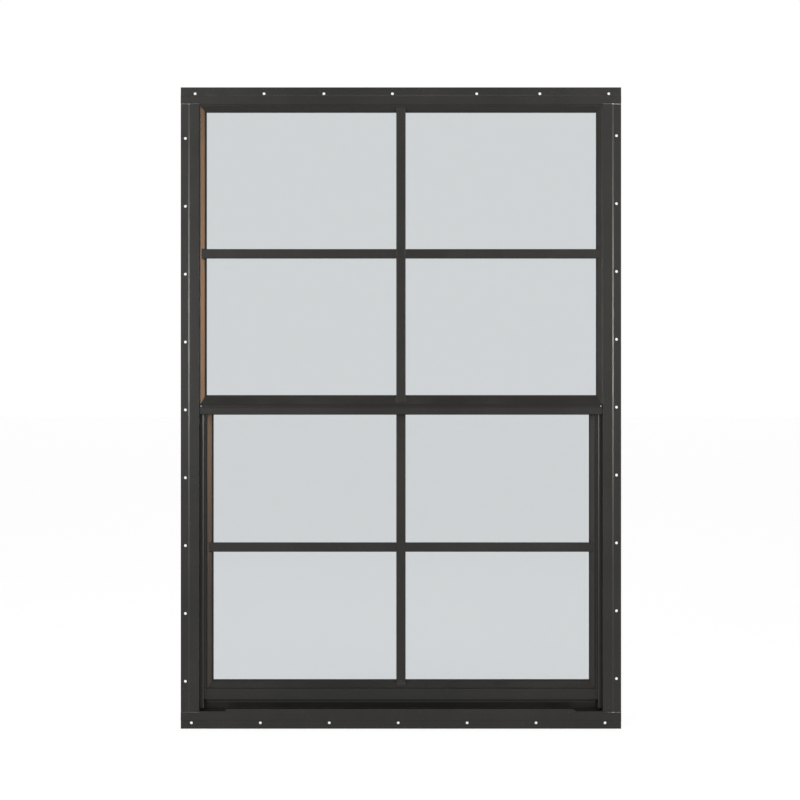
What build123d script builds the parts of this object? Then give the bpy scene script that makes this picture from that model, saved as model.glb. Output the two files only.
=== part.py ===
"""Single hung window with a nailing fin, a fixed upper light, a lower sash and grille bars.

Millimetres, +Z up. The outside of the building is towards -Y. The fin's back, which lies on the
wall, is the plane y = 0, and the origin is on it, at mid width on the bottom edge of the fin.
"""

import os

from build123d import *

os.makedirs("parts", exist_ok=True)

# Overall size, over the nailing fin
width = 654.0
height = 952.5
box_depth = 38.1  # from the fin's back to the inside edge of the frame

# Frame extrusion
wall = 1.5  # thickness of the webs, ledges and legs
fin_thickness = 1.6
nail_strip = 11.0  # flat outer strip that takes the nails
step_run = 2.4  # slope between the nail strip and the face band
step_rise = 1.0
jamb_reveal = 27.5  # from the fin's edge to the inner face of the jamb's web
rail_reveal = 26.0  # the same at the head and the sill
ledge_depth = 9.5  # from the fin's back to the front of the glazing ledge
ledge_width = 5.5
lip_width = 0.6  # top of the lip along the ledge's edge, which keeps the glazing tape in place
lip_slope = 1.8
lip_rise = 1.2
jamb_rear_leg = 5.0  # leg that keeps the sash in its track
head_rear_leg = 3.2
edge_round = 0.8  # rounding of the frame's edges that face the outside
small_round = 0.45  # the same on the sash, the beads and the meeting rail
joint_gap = 0.2  # open joint between the jambs' fins and those of the head and sill
seat_gap = 0.1  # between pieces that are cut to fit

# Sill
dam_height = 3.5  # lip above the sill's floor
dam_inset = 66.6  # from the fin's edge to each end of the lip
dam_slant = 4.8  # slope of the lip's right-hand end
seat_top = 38.2  # height of the hollow seat under the back of the sash
seat_front = 24.4  # from the fin's back
sill_rear_top = 43.0
jamb_ledge_foot = 28.3  # height where the jambs' ledges stop above the sill's floor

# Nail holes
nail_hole_radius = 2.0
nail_line_jamb = 6.8  # from the fin's outer edge to the line of holes
nail_line_head = 9.4
nail_line_sill = 8.7
nail_pitch_jamb = 100.8
nail_end_jamb = 40.0  # least distance from the end of a jamb's fin to its last hole
nail_shift_left = -2.7  # height of the middle hole, from mid height
nail_shift_right = 1.3
nail_pitch_sill = 102.4
nail_end_rail = 15.0  # the same at the head and the sill
nail_shift_sill = -4.1  # place of the middle hole, from mid width
nail_places_head = (-305.7, -203.3, -114.4, -12.6, 112.6, 206.3, 308.7)  # from mid width

# Fixed meeting rail
meeting_bottom = 466.9
meeting_face = 10.5
meeting_upstand = 10.6  # part of the rail behind the upper glass

# Glazing: bead, gasket, glass and tape lie one behind the other in front of a ledge
tape_thickness = 1.6
glass_thickness = 3.2
gasket_thickness = 1.1
bead_wall = 1.1
bead_rise = 6.1  # from the back of the bead to its front edge
bead_toe = 0.5
bead_foot = 1.2
bead_foot_clearance = 0.1
gasket_show = 1.7  # width of gasket seen past the bead
frame_bead_gap = 1.2  # groove between the frame and the slope of the bead
frame_bead_width = 6.2
head_bead_gap = 1.8
meeting_bead_gap = 3.9
meeting_bead_width = 11.4
glass_edge_gap = 1.2

# Lower sash
sash_side_clearance = 1.2  # to each jamb's web
sash_bottom = 41.0
sash_top = 492.5
sash_front_clearance = 1.3  # behind the frame's ledge
sash_rear_clearance = 2.3  # in front of the frame's rear leg
stile_width = 7.8
sash_rail_width = 16.2
sash_leg = 6.2  # leg behind the sash glass
sash_ledge_depth = 25.0
sash_bead_gap = 0.4
sash_bead_width = 6.6
sash_bottom_bead_width = 9.0
sash_glass_edge_gap = 1.5
drip_setback = 4.0  # leg under the front of the bottom rail, with a lip along its foot
drip_drop = 4.1
drip_lip = 1.1
drip_lip_setback = 0.4
pull_reach = 7.5  # lift rail on the inside of the bottom rail
pull_lip = 4.0
pull_length = 496.0

# Grille bars
bar_width = 14.0
bar_thickness = 4.0
bar_round = 1.2
bar_to_gasket = 0.2
bar_to_bead = 0.15
lap_clearance = 0.05
bar_stand_proud = 0.4  # uprights stand proud of the crossbars at the lap

# Latches
tongue_height = 7.0
tongue_thickness = 3.0
tongue_inner_end = 78.0  # from the fin's edge
tongue_bite = 1.2  # how far the tongue enters the jamb's web
tongue_setback = 3.5  # behind the tongue, to the inside face of the sash
slot_clearance = 0.4
knob_length = 22.0
knob_height = 8.0
knob_reach = 6.0
knob_neck = 10.0
knob_centre = 62.0  # from the fin's edge

# Seals
pile_width = 4.4
pile_inset = 0.6  # from the jamb's web
meeting_pile_height = 5.0
meeting_pile_offset = 2.0  # above the foot of the sash's top rail
seal_width = 5.0

# Planes and lines worked out from the sizes above
face_front = -fin_thickness - step_rise
step_end = nail_strip + step_run
jamb_web_back = jamb_reveal - wall
rail_web_back = rail_reveal - wall
half_clear = width / 2 - jamb_reveal  # half the width between the jambs' webs
half_between_ledges = half_clear - ledge_width
head_soffit = height - rail_reveal
dam_top = rail_reveal + dam_height
ledge_back = ledge_depth + wall
rear_leg_front = box_depth - wall
meeting_top = meeting_bottom + meeting_face
sash_half_width = half_clear - sash_side_clearance
sash_front = ledge_back + sash_front_clearance
sash_back = rear_leg_front - sash_rear_clearance
stile_inner = sash_half_width - stile_width
sash_rail_top = sash_bottom + sash_rail_width  # top of the bottom rail
sash_head_foot = sash_top - sash_rail_width  # foot of the top rail
tongue_front = sash_back - tongue_setback - tongue_thickness
tongue_foot = sash_bottom + (sash_rail_width - tongue_height) / 2

edge_plane = {
    "left": Plane(origin=(-width / 2, 0, height / 2), x_dir=(1, 0, 0), z_dir=(0, 0, 1)),
    "right": Plane(origin=(width / 2, 0, height / 2), x_dir=(-1, 0, 0), z_dir=(0, 0, -1)),
    "head": Plane(origin=(0, 0, height), x_dir=(0, 0, -1), z_dir=(1, 0, 0)),
    "sill": Plane(origin=(0, 0, 0), x_dir=(0, 0, 1), z_dir=(-1, 0, 0)),
}


def keep(piece, name):
    """Name a finished piece and write it to its own file."""
    piece.part.label = name
    export_step(piece.part, f"parts/{name}.step")


def rod(plane, outline, half_length, mode=Mode.ADD):
    """Extrude a closed outline both ways from its plane."""
    with BuildSketch(plane) as section:
        with BuildLine():
            Polyline(*outline, close=True)
        make_face()
    extrude(section.sketch, amount=half_length, both=True, mode=mode)


def block(x_range, y_range, z_range, mode=Mode.ADD):
    """Add or cut a box given by its lowest and highest values on each axis."""
    sizes = [high - low for low, high in (x_range, y_range, z_range)]
    with Locations((x_range[0], y_range[0], z_range[0])):
        Box(*sizes, align=(Align.MIN, Align.MIN, Align.MIN), mode=mode)


def block_both_ends(x_range, y_range, z_range, mode=Mode.ADD):
    """The same box at the right-hand end and, mirrored, at the left-hand end."""
    block(x_range, y_range, z_range, mode)
    block((-x_range[1], -x_range[0]), y_range, z_range, mode)


def even_row(middle, pitch, room):
    """Evenly spaced places about a middle, as many as there is room for on both sides of it."""
    per_side = int(room / 2 // pitch)
    return [middle + pitch * place for place in range(-per_side, per_side + 1)]


def nail_holes(points):
    """Cut nail holes through the fin at a list of (x, z) points."""
    with BuildSketch(Plane.XZ) as row:
        with Locations(*points):
            Circle(nail_hole_radius)
    extrude(row.sketch, amount=nail_strip, both=True, mode=Mode.SUBTRACT)


def tongue_hole(x_range):
    """Cut the way for a latch tongue through whatever lies between two values of x."""
    block(
        x_range,
        (tongue_front - slot_clearance, tongue_front + tongue_thickness + slot_clearance),
        (tongue_foot - slot_clearance, tongue_foot + tongue_height + slot_clearance),
        Mode.SUBTRACT,
    )


def fin_outline(inner_edge):
    """Section of the nail strip, its step and the face band."""
    return [
        (0, 0),
        (0, -fin_thickness),
        (nail_strip, -fin_thickness),
        (step_end, face_front),
        (inner_edge, face_front),
        (inner_edge, face_front + fin_thickness),
        (step_end, face_front + fin_thickness),
        (nail_strip, 0),
    ]


def frame_outline(reveal, rear_leg):
    """Section of the extrusion used for the head and the jambs, fin included."""
    ledge_edge = reveal + ledge_width
    leg_edge = reveal + rear_leg
    web_back = reveal - wall
    return [
        (0, 0),
        (0, -fin_thickness),
        (nail_strip, -fin_thickness),
        (step_end, face_front),
        (reveal, face_front),
        (reveal, ledge_depth),
        (ledge_edge - lip_slope - lip_width, ledge_depth),
        (ledge_edge - lip_slope - lip_width, ledge_depth - lip_rise),
        (ledge_edge - lip_slope, ledge_depth - lip_rise),
        (ledge_edge, ledge_depth),
        (ledge_edge, ledge_back),
        (reveal, ledge_back),
        (reveal, rear_leg_front),
        (leg_edge, rear_leg_front),
        (leg_edge, box_depth),
        (web_back, box_depth),
        (web_back, face_front + fin_thickness),
        (step_end, face_front + fin_thickness),
        (nail_strip, 0),
    ]


# Head: its fin runs the full width, and its web, ledge and leg fit between the jambs
with BuildPart() as frame_head:
    rod(edge_plane["head"], frame_outline(rail_reveal, head_rear_leg), half_clear - seat_gap)
    rod(edge_plane["head"], fin_outline(rail_web_back), width / 2)
    cope_z = (head_soffit - ledge_width - wall, head_soffit)
    block_both_ends(
        (half_between_ledges - seat_gap, half_clear),
        (ledge_depth - wall, ledge_back + seat_gap),
        cope_z,
        Mode.SUBTRACT,
    )
    block_both_ends(
        (half_clear - jamb_rear_leg - seat_gap, half_clear),
        (rear_leg_front - seat_gap, box_depth + wall),
        cope_z,
        Mode.SUBTRACT,
    )
    row_end = width / 2 - nail_end_rail
    nail_holes([(x, height - nail_line_head) for x in nail_places_head if abs(x) < row_end])
    fillet(frame_head.edges().filter_by(Axis.X).group_by(Axis.Y)[0], edge_round)
keep(frame_head, "frame_head")


def jamb(side, nail_shift):
    """One jamb, between the fins of the head and the sill, with its slot for the latch tongue."""
    sign = -1 if side == "left" else 1
    reach = max(ledge_width, jamb_rear_leg) + wall
    inside = sorted((sign * half_clear, sign * (half_clear - reach)))
    web = sorted((sign * (half_clear - wall), sign * width / 2))
    lip = sorted((sign * half_between_ledges, sign * (half_between_ledges + lip_width + lip_slope)))
    rail_notch = (meeting_bottom - seat_gap, meeting_top + meeting_upstand)
    head_notch = (head_soffit - ledge_width, head_soffit)
    with BuildPart() as piece:
        half_length = height / 2 - rail_web_back - joint_gap
        rod(edge_plane[side], frame_outline(jamb_reveal, jamb_rear_leg), half_length)
        block(inside, (0, box_depth + wall), (head_soffit - seat_gap, height), Mode.SUBTRACT)
        block(inside, (0, ledge_back + seat_gap), (0, jamb_ledge_foot), Mode.SUBTRACT)
        for notch in (rail_notch, head_notch):
            block(lip, (ledge_depth - lip_rise, ledge_depth), notch, Mode.SUBTRACT)
        block(inside, (ledge_back, box_depth + wall), (0, sill_rear_top + seat_gap), Mode.SUBTRACT)
        tongue_hole(web)
        nail_x = sign * (width / 2 - nail_line_jamb)
        room = height - 2 * (rail_web_back + joint_gap + nail_end_jamb + abs(nail_shift))
        nail_holes([(nail_x, z) for z in even_row(height / 2 + nail_shift, nail_pitch_jamb, room)])
        fillet(piece.edges().filter_by(Axis.Z).group_by(Axis.Y)[0], edge_round)
    return piece


frame_jamb_left = jamb("left", nail_shift_left)
keep(frame_jamb_left, "frame_jamb_left")
frame_jamb_right = jamb("right", nail_shift_right)
keep(frame_jamb_right, "frame_jamb_right")

# Sill: a floor that runs back under the sash to a hollow seat, and a lip cut short at both ends
with BuildPart() as frame_sill:
    sill_outline = [
        (rail_web_back, face_front),
        (rail_reveal, face_front),
        (rail_reveal, seat_front),
        (seat_top, seat_front),
        (seat_top, rear_leg_front),
        (sill_rear_top, rear_leg_front),
        (sill_rear_top, box_depth),
        (rail_web_back, box_depth),
    ]
    rod(edge_plane["sill"], sill_outline, half_clear - seat_gap)
    rod(edge_plane["sill"], fin_outline(rail_web_back), width / 2)
    block(
        (-half_clear, half_clear),
        (seat_front + wall, rear_leg_front),
        (rail_reveal, seat_top - wall),
        Mode.SUBTRACT,
    )
    dam_left = -width / 2 + dam_inset
    dam_right = width / 2 - dam_inset
    with BuildSketch(Plane.XZ.offset(-face_front - fin_thickness)):
        with BuildLine():
            Polyline(
                (dam_left, rail_web_back),
                (dam_left, dam_top),
                (dam_right - dam_slant, dam_top),
                (dam_right, rail_reveal),
                (dam_right, rail_web_back),
                close=True,
            )
        make_face()
    extrude(amount=fin_thickness)
    room = width - 2 * (nail_end_rail + abs(nail_shift_sill))
    nail_holes([(x, nail_line_sill) for x in even_row(nail_shift_sill, nail_pitch_sill, room)])
keep(frame_sill, "frame_sill")

# Fixed meeting rail: a hollow face with an upstand behind the upper glass
with BuildPart() as meeting_rail:
    block((-half_clear + seat_gap, half_clear - seat_gap), (0, ledge_back), (meeting_bottom, meeting_top))
    block(
        (-half_clear, half_clear),
        (wall, ledge_back - wall),
        (meeting_bottom + wall, meeting_top - wall),
        Mode.SUBTRACT,
    )
    block_both_ends(
        (half_between_ledges - seat_gap, half_clear),
        (ledge_depth - seat_gap, ledge_back + wall),
        (meeting_bottom, meeting_top),
        Mode.SUBTRACT,
    )
    block(
        (-half_between_ledges + seat_gap, half_between_ledges - seat_gap),
        (ledge_depth, ledge_back),
        (meeting_top, meeting_top + meeting_upstand),
    )
    fillet(meeting_rail.edges().filter_by(Axis.X).group_by(Axis.Y)[0], small_round)
keep(meeting_rail, "meeting_rail")


def glazing_planes(ledge_front):
    """Depths of the layers in front of a glazing ledge."""
    glass_back = ledge_front - tape_thickness
    glass_front = glass_back - glass_thickness
    return {
        "tape": (glass_back, ledge_front),
        "glass": (glass_front, glass_back),
        "gasket": (glass_front - gasket_thickness, glass_front),
    }


def flat_pane(reveals, edge_gap, y_range):
    """A pane, held back from the reveals by its edge gap. Reveals are left, right, bottom, top."""
    left, right, bottom, top = reveals
    with BuildPart() as piece:
        block((left + edge_gap, right - edge_gap), y_range, (bottom + edge_gap, top - edge_gap))
    return piece


def flat_ring(outer, inner, y_range):
    """A flat rectangular ring between two sets of reveals."""
    with BuildPart() as piece:
        block((outer[0], outer[1]), y_range, (outer[2], outer[3]))
        block((inner[0], inner[1]), y_range, (inner[2], inner[3]), Mode.SUBTRACT)
    return piece


def inset(rectangle, left, right, bottom, top):
    """A rectangle given by left, right, bottom and top, drawn in on each side."""
    return (rectangle[0] + left, rectangle[1] - right, rectangle[2] + bottom, rectangle[3] - top)


def bead(side, reveals, gaps, widths, bead_back):
    """One sloped glazing bead with mitred ends. Gaps and widths are by side."""
    slope_outer = inset(reveals, *[gaps[name] for name in ("left", "right", "sill", "head")])
    toe = inset(slope_outer, *[widths[name] for name in ("left", "right", "sill", "head")])
    place = {"left": 0, "right": 1, "sill": 2, "head": 3}[side]
    middle_x = (reveals[0] + reveals[1]) / 2
    middle_z = (reveals[2] + reveals[3]) / 2
    upright = side in ("left", "right")
    origin = (reveals[place], 0, middle_z) if upright else (middle_x, 0, reveals[place])
    plane = Plane(origin=origin, x_dir=edge_plane[side].x_dir, z_dir=edge_plane[side].z_dir)
    gap, slope = gaps[side], widths[side]
    front = bead_back - bead_rise
    outline = [
        (bead_foot_clearance, bead_back),
        (bead_foot_clearance, bead_back - bead_foot),
        (gap, bead_back - bead_foot),
        (gap, front),
        (gap + slope, bead_back - bead_toe),
        (gap + slope, bead_back),
        (gap + slope - bead_wall, bead_back),
        (gap + bead_wall, front + 2 * bead_wall),
        (gap + bead_wall, bead_back),
    ]
    reach = max(reveals[1] - reveals[0], reveals[3] - reveals[2])
    with BuildPart() as piece:
        rod(plane, outline, reach)
        along = Axis.Z if upright else Axis.X
        fillet(piece.edges().filter_by(along).group_by(Axis.Y)[0], small_round)
        ends = ((place, 2), (place, 3)) if upright else ((0, place), (1, place))
        for column, row in ends:
            outer_corner = Vector(slope_outer[column], 0, slope_outer[row])
            toe_corner = Vector(toe[column], 0, toe[row])
            normal = (toe_corner - outer_corner).cross(Vector(0, 1, 0))
            towards_middle = Vector(*origin) - outer_corner
            if normal.dot(towards_middle) < 0:
                normal = normal * -1
            split(bisect_by=Plane(origin=outer_corner, z_dir=normal), keep=Keep.TOP)
        clear = inset(reveals, *[bead_foot_clearance] * 4)
        block(clear[:2], (front - wall, bead_back + wall), clear[2:], Mode.INTERSECT)
    return piece


# Upper light: tape, glass, gasket and four beads, fixed in the frame
upper_reveals = (-half_clear, half_clear, meeting_top, head_soffit)
upper_layers = glazing_planes(ledge_depth)
upper_gaps = {
    "left": frame_bead_gap,
    "right": frame_bead_gap,
    "head": head_bead_gap,
    "sill": meeting_bead_gap,
}
upper_widths = {
    "left": frame_bead_width,
    "right": frame_bead_width,
    "head": frame_bead_width,
    "sill": meeting_bead_width,
}
upper_edge = inset(upper_reveals, glass_edge_gap, glass_edge_gap, glass_edge_gap, glass_edge_gap)
upper_daylight = inset(
    upper_reveals,
    frame_bead_gap + frame_bead_width + gasket_show,
    frame_bead_gap + frame_bead_width + gasket_show,
    meeting_bead_gap + meeting_bead_width + gasket_show,
    head_bead_gap + frame_bead_width + gasket_show,
)

upper_glass = flat_pane(upper_reveals, glass_edge_gap, upper_layers["glass"])
keep(upper_glass, "upper_glass")
upper_gasket = flat_ring(upper_edge, upper_daylight, upper_layers["gasket"])
keep(upper_gasket, "upper_gasket")
tape_to_lip = ledge_width - lip_width - lip_slope
upper_tape_inner = inset(upper_reveals, tape_to_lip, tape_to_lip, meeting_upstand, tape_to_lip)
upper_tape = flat_ring(upper_edge, upper_tape_inner, upper_layers["tape"])
keep(upper_tape, "upper_tape")
upper_bead_back = upper_layers["gasket"][0]
for side, name in (
    ("left", "upper_bead_left"),
    ("right", "upper_bead_right"),
    ("head", "upper_bead_head"),
    ("sill", "upper_bead_bottom"),
):
    keep(bead(side, upper_reveals, upper_gaps, upper_widths, upper_bead_back), name)

# Lower sash: stiles run the full height, with the rails between them
stile_outline = [
    (0, sash_front),
    (stile_width, sash_front),
    (stile_width, sash_ledge_depth),
    (stile_width + sash_leg, sash_ledge_depth),
    (stile_width + sash_leg, sash_ledge_depth + wall),
    (stile_width, sash_ledge_depth + wall),
    (stile_width, sash_back),
    (0, sash_back),
]
sash_middle = (sash_bottom + sash_top) / 2
sash_half_height = (sash_top - sash_bottom) / 2


def stile(side):
    """One hollow stile with the leg that the glass rests against."""
    sign = -1 if side == "left" else 1
    plane = Plane(
        origin=(sign * sash_half_width, 0, sash_middle),
        x_dir=edge_plane[side].x_dir,
        z_dir=edge_plane[side].z_dir,
    )
    tube = sorted((sign * (sash_half_width - wall), sign * (stile_inner + wall)))
    leg = sorted((sign * stile_inner, sign * (stile_inner - sash_leg - wall)))
    with BuildPart() as piece:
        rod(plane, stile_outline, sash_half_height)
        fillet(piece.edges().filter_by(Axis.Z).group_by(Axis.Y)[0], small_round)
        block(tube, (sash_front + wall, sash_back - wall), (sash_bottom, sash_top), Mode.SUBTRACT)
        block(leg, (sash_front, sash_back), (sash_bottom, sash_rail_top + seat_gap), Mode.SUBTRACT)
        block(leg, (sash_front, sash_back), (sash_head_foot - seat_gap, sash_top), Mode.SUBTRACT)
        tongue_hole(sorted((sign * sash_half_width, sign * stile_inner)))
    return piece


sash_stile_left = stile("left")
keep(sash_stile_left, "sash_stile_left")
sash_stile_right = stile("right")
keep(sash_stile_right, "sash_stile_right")

rail_half = stile_inner - seat_gap
leg_half = stile_inner - sash_leg - seat_gap
with BuildPart() as sash_top_rail:
    block((-rail_half, rail_half), (sash_front, sash_back), (sash_head_foot, sash_top))
    block(
        (-rail_half, rail_half),
        (sash_front + wall, sash_back - wall),
        (sash_head_foot + wall, sash_top - wall),
        Mode.SUBTRACT,
    )
    block(
        (-leg_half, leg_half),
        (sash_ledge_depth, sash_ledge_depth + wall),
        (sash_head_foot - sash_leg, sash_head_foot),
    )
keep(sash_top_rail, "sash_top_rail")

with BuildPart() as sash_bottom_rail:
    block((-rail_half, rail_half), (sash_front, sash_back), (sash_bottom, sash_rail_top))
    fillet(sash_bottom_rail.edges().filter_by(Axis.X).group_by(Axis.Y)[0], small_round)
    block(
        (-rail_half, rail_half),
        (sash_front + wall, sash_back - wall),
        (sash_bottom + wall, sash_rail_top - wall),
        Mode.SUBTRACT,
    )
    block(
        (-leg_half, leg_half),
        (sash_ledge_depth, sash_ledge_depth + wall),
        (sash_rail_top, sash_rail_top + sash_leg),
    )
    drip_front = sash_front + drip_setback
    drip_foot = sash_bottom - drip_drop
    block((-rail_half, rail_half), (drip_front, drip_front + wall), (drip_foot, sash_bottom))
    lip_front = sash_front + drip_lip_setback
    block((-rail_half, rail_half), (lip_front, drip_front), (drip_foot, drip_foot + drip_lip))
    block(
        (-pull_length / 2, pull_length / 2),
        (sash_back, sash_back + pull_reach),
        (sash_rail_top - wall, sash_rail_top),
    )
    block(
        (-pull_length / 2, pull_length / 2),
        (sash_back + pull_reach - wall, sash_back + pull_reach),
        (sash_rail_top - pull_lip, sash_rail_top),
    )
    neck_inner = width / 2 - knob_centre - knob_neck
    neck_outer = width / 2 - knob_centre + knob_neck
    block_both_ends(
        (neck_inner, neck_outer),
        (sash_back - wall, sash_back),
        (tongue_foot - slot_clearance, tongue_foot + tongue_height + slot_clearance),
        Mode.SUBTRACT,
    )
keep(sash_bottom_rail, "sash_bottom_rail")

# Sash glazing
lower_reveals = (-stile_inner, stile_inner, sash_rail_top, sash_head_foot)
lower_layers = glazing_planes(sash_ledge_depth)
lower_gaps = {"left": sash_bead_gap, "right": sash_bead_gap, "head": sash_bead_gap, "sill": sash_bead_gap}
lower_widths = {
    "left": sash_bead_width,
    "right": sash_bead_width,
    "head": sash_bead_width,
    "sill": sash_bottom_bead_width,
}
lower_edge = inset(
    lower_reveals, sash_glass_edge_gap, sash_glass_edge_gap, sash_glass_edge_gap, sash_glass_edge_gap
)
lower_daylight = inset(
    lower_reveals,
    sash_bead_gap + sash_bead_width + gasket_show,
    sash_bead_gap + sash_bead_width + gasket_show,
    sash_bead_gap + sash_bottom_bead_width + gasket_show,
    sash_bead_gap + sash_bead_width + gasket_show,
)
lower_glass = flat_pane(lower_reveals, sash_glass_edge_gap, lower_layers["glass"])
keep(lower_glass, "lower_glass")
lower_gasket = flat_ring(lower_edge, lower_daylight, lower_layers["gasket"])
keep(lower_gasket, "lower_gasket")
lower_tape = flat_ring(
    lower_edge, inset(lower_reveals, sash_leg, sash_leg, sash_leg, sash_leg), lower_layers["tape"]
)
keep(lower_tape, "lower_tape")
lower_bead_back = lower_layers["gasket"][0]
for side, name in (
    ("left", "lower_bead_left"),
    ("right", "lower_bead_right"),
    ("head", "lower_bead_top"),
    ("sill", "lower_bead_bottom"),
):
    keep(bead(side, lower_reveals, lower_gaps, lower_widths, lower_bead_back), name)


def bar_end(gap, slope, bead_back, depth):
    """Distance from a reveal to the bead's slope at a given depth, with the bar's clearance."""
    front = bead_back - bead_rise
    rise = bead_rise - bead_toe
    return gap + slope * (depth - front) / rise + bar_to_bead


def grille(reveals, gaps, widths, bead_back, name):
    """An upright and a crossbar, cut to the slopes of the beads and half lapped where they cross."""
    bar_back = bead_back - bar_to_gasket
    bar_front = bar_back - bar_thickness
    upright_front = bar_front - bar_stand_proud
    lap = (bar_front + bar_back) / 2
    daylight = inset(reveals, *[gaps[s] + widths[s] for s in ("left", "right", "sill", "head")])
    middle = ((daylight[0] + daylight[1]) / 2, (daylight[2] + daylight[3]) / 2)

    def ends(low_side, high_side, low_reveal, high_reveal, depth):
        low = low_reveal + bar_end(gaps[low_side], widths[low_side], bead_back, depth)
        high = high_reveal - bar_end(gaps[high_side], widths[high_side], bead_back, depth)
        return low, high

    with BuildPart() as upright:
        front = ends("sill", "head", reveals[2], reveals[3], upright_front)
        back = ends("sill", "head", reveals[2], reveals[3], bar_back)
        with BuildSketch(Plane.YZ.offset(middle[0])):
            with BuildLine():
                Polyline(
                    (upright_front, front[0]),
                    (upright_front, front[1]),
                    (bar_back, back[1]),
                    (bar_back, back[0]),
                    close=True,
                )
            make_face()
        extrude(amount=bar_width / 2, both=True)
        fillet(upright.edges().filter_by(Axis.Z).group_by(Axis.Y)[0], bar_round)
        block(
            (middle[0] - bar_width, middle[0] + bar_width),
            (lap - lap_clearance, bar_back + wall),
            (middle[1] - bar_width / 2 - seat_gap, middle[1] + bar_width / 2 + seat_gap),
            Mode.SUBTRACT,
        )
    with BuildPart() as crossbar:
        front = ends("left", "right", reveals[0], reveals[1], bar_front)
        back = ends("left", "right", reveals[0], reveals[1], bar_back)
        with BuildSketch(Plane.XY.offset(middle[1])):
            with BuildLine():
                Polyline(
                    (front[0], bar_front),
                    (front[1], bar_front),
                    (back[1], bar_back),
                    (back[0], bar_back),
                    close=True,
                )
            make_face()
        extrude(amount=bar_width / 2, both=True)
        fillet(crossbar.edges().filter_by(Axis.X).group_by(Axis.Y)[0], bar_round)
        block(
            (middle[0] - bar_width / 2 - seat_gap, middle[0] + bar_width / 2 + seat_gap),
            (bar_front - wall, lap + lap_clearance),
            (middle[1] - bar_width, middle[1] + bar_width),
            Mode.SUBTRACT,
        )
    keep(upright, f"{name}_grille_upright")
    keep(crossbar, f"{name}_grille_crossbar")


grille(upper_reveals, upper_gaps, upper_widths, upper_bead_back, "upper")
grille(lower_reveals, lower_gaps, lower_widths, lower_bead_back, "lower")


def latch(side):
    """A sliding tongue inside the bottom rail, and the thumb knob that shows on the inside."""
    sign = -1 if side == "left" else 1
    tongue_tip = half_clear + tongue_bite
    tongue_x = sorted((sign * tongue_tip, sign * (width / 2 - tongue_inner_end)))
    knob_x = sign * (width / 2 - knob_centre)
    neck_half = knob_neck / 2
    with BuildPart() as piece:
        block(
            tongue_x,
            (tongue_front, tongue_front + tongue_thickness),
            (tongue_foot, tongue_foot + tongue_height),
        )
        block(
            (knob_x - neck_half, knob_x + neck_half),
            (tongue_front, sash_back + slot_clearance),
            (tongue_foot, tongue_foot + tongue_height),
        )
        block(
            (knob_x - knob_length / 2, knob_x + knob_length / 2),
            (sash_back + slot_clearance, sash_back + knob_reach),
            (
                tongue_foot + (tongue_height - knob_height) / 2,
                tongue_foot + (tongue_height + knob_height) / 2,
            ),
        )
    return piece


sash_latch_left = latch("left")
keep(sash_latch_left, "sash_latch_left")
sash_latch_right = latch("right")
keep(sash_latch_right, "sash_latch_right")


def jamb_pile(side, y_range, foot):
    """A pile strip on one face of a track. The stile slides between two of them."""
    sign = -1 if side == "left" else 1
    strip = sorted((sign * (half_clear - pile_inset), sign * (half_clear - pile_inset - pile_width)))
    with BuildPart() as piece:
        block(strip, y_range, (foot, head_soffit - pile_width))
    return piece


for side in ("left", "right"):
    keep(jamb_pile(side, (ledge_back, sash_front), sash_bottom), f"front_pile_{side}")
    rear_foot = sill_rear_top + pile_width
    keep(jamb_pile(side, (sash_back, rear_leg_front), rear_foot), f"rear_pile_{side}")

with BuildPart() as meeting_rail_pile:
    pile_foot = sash_head_foot + meeting_pile_offset
    block(
        (-leg_half, leg_half),
        (ledge_back, sash_front),
        (pile_foot, pile_foot + meeting_pile_height),
    )
keep(meeting_rail_pile, "meeting_rail_pile")

with BuildPart() as sill_seal:
    seal_front = (seat_front + sash_back - seal_width) / 2
    seal_height = sash_bottom - seat_top
    block((-rail_half, rail_half), (seal_front, seal_front + seal_width), (seat_top, sash_bottom))
    fillet(sill_seal.edges().filter_by(Axis.X).group_by(Axis.Z)[-1], seal_height / 3)
keep(sill_seal, "sill_seal")
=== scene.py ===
# %% [markdown]
# # A single hung window in bronze enamel
#
# The frame, the sash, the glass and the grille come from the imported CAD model, at their real size.
# This lesson dresses them: enamel on extruded aluminium, clear glass, rubber, pile and moulded
# nylon. It then adds the small things that a drawing leaves out, such as clips and screws, and
# lights the window as a maker would for a catalogue.

# %% Load the model
import math

import bmesh
import bpy
from bmesh.types import BMEdge, BMFace, BMVert
from mathutils import Matrix, Vector


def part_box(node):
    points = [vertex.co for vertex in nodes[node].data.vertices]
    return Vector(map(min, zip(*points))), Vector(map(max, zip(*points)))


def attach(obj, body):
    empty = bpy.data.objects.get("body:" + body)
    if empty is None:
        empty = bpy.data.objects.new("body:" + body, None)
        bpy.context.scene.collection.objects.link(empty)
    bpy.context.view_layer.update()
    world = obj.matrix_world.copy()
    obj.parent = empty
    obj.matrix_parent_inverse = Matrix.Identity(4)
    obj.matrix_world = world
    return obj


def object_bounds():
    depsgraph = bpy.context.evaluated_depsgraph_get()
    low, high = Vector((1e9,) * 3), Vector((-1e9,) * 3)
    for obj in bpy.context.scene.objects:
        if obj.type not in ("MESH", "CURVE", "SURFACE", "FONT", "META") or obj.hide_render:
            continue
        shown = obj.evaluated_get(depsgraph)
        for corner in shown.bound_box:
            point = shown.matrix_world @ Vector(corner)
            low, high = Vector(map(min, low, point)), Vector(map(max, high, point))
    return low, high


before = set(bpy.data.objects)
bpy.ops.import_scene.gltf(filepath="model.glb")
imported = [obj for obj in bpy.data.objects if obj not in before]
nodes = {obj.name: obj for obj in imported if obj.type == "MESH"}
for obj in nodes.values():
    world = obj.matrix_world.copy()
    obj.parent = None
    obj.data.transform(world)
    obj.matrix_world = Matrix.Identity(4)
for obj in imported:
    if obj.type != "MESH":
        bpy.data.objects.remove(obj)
cad_low, cad_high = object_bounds()
MM = 0.001
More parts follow.
